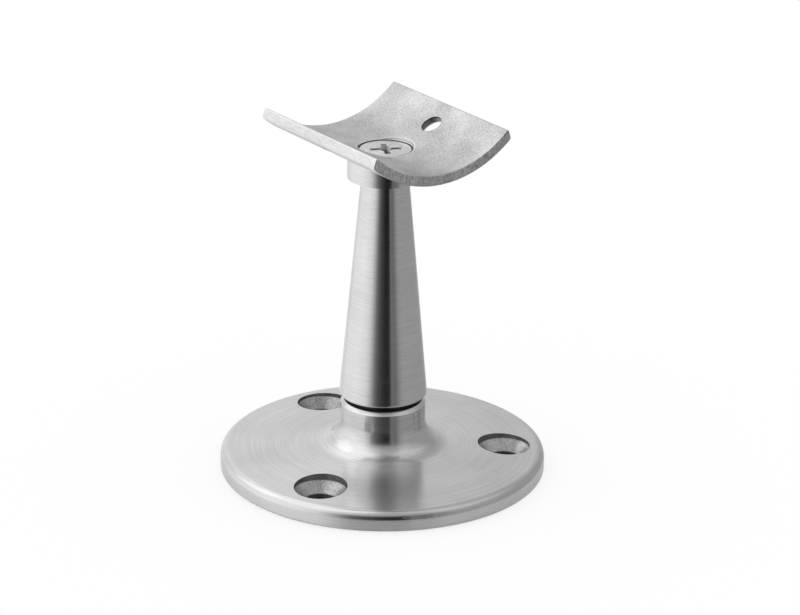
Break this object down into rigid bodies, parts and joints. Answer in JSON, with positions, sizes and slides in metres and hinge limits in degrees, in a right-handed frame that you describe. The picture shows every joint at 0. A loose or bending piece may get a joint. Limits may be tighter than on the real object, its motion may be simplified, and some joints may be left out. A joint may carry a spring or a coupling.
{
  "type": "handrail bracket",
  "caption": "Handrail bracket: a round flange with countersunk fixing holes carries a tapered stem and a curved saddle plate that holds a round rail.",
  "frame": {"origin": "centre of the base flange's underside", "axes": "+Z from the flange up the stem to the rail, X along the rail, Y across it"},
  "size_m": [0.07, 0.07, 0.0784],
  "materials": {
    "flange_steel": "fine turned satin, rings round the hub",
    "stem_steel": "fine turned satin, brighter than the flange",
    "collar_steel": "fine turned satin",
    "saddle_steel": "matt, finely blasted sheet",
    "screw_steel": "plain machined, with fine turning rings"
  },
  "bodies": {
    "root": {"base_flange": "flange_steel", "tapered_stem": "stem_steel", "seat_collar": "collar_steel", "saddle_plate": "saddle_steel", "saddle_screw": "screw_steel", "base_screw": "screw_steel"}
  },
  "joints": []
}
